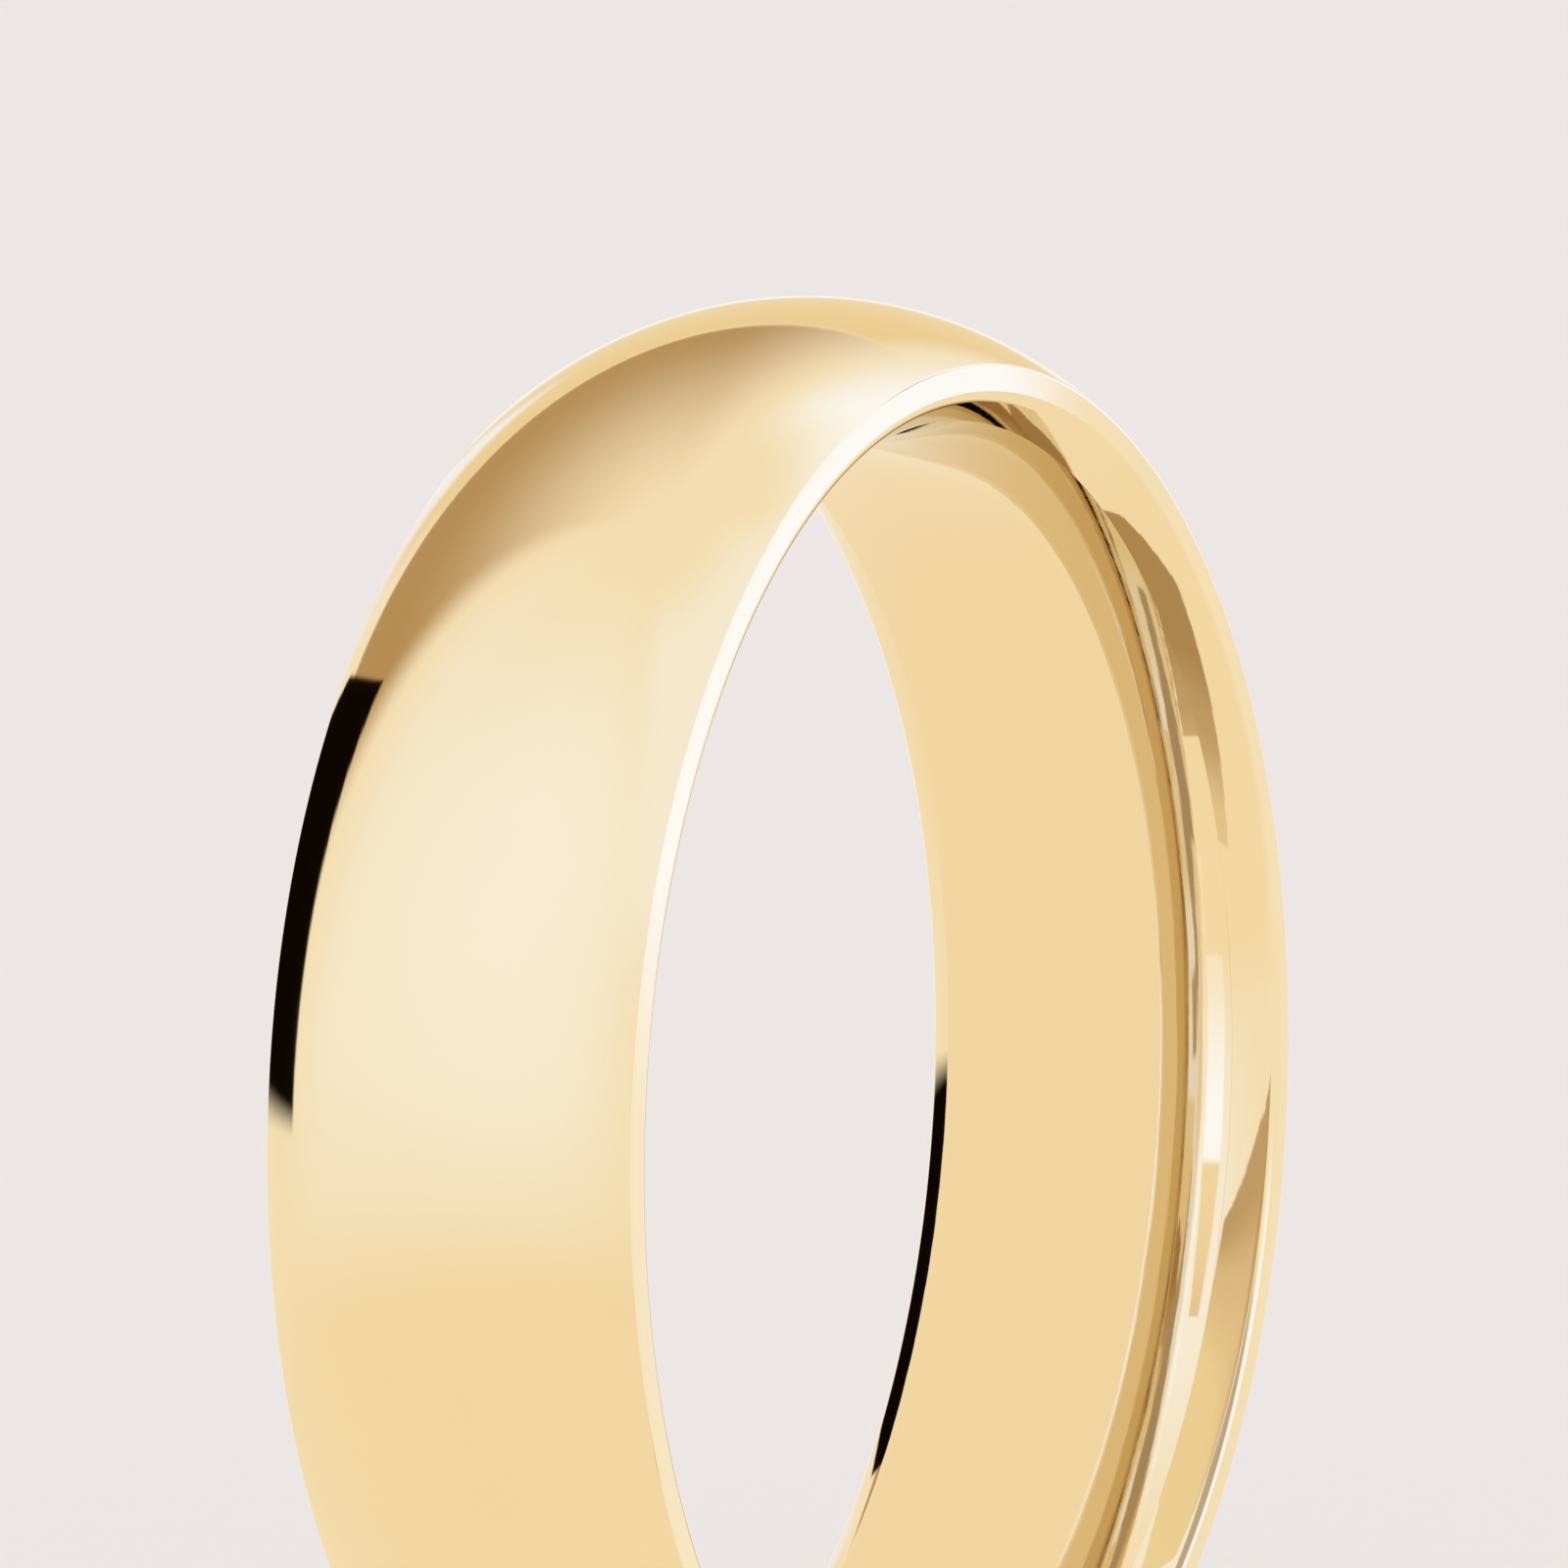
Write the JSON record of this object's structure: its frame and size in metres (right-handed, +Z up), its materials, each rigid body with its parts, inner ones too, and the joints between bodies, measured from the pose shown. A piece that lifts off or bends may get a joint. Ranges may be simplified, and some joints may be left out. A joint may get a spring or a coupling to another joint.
{
  "type": "wedding band",
  "caption": "Plain domed finger ring with a comfort-fit inside: a gold strip bent round and closed by a soldered joint at its lowest point.",
  "frame": {"origin": "centre of the ring, on the finger axis, halfway across the band's width", "axes": "+Z up with the ring standing upright; the finger axis along Y; the solder joint at the bottom, at -Z"},
  "size_m": [0.0242, 0.006, 0.0242],
  "materials": {
    "yellow_gold": "polished",
    "gold_solder": "polished"
  },
  "bodies": {
    "root": {"band": "yellow_gold", "solder_joint": "gold_solder"}
  },
  "joints": []
}
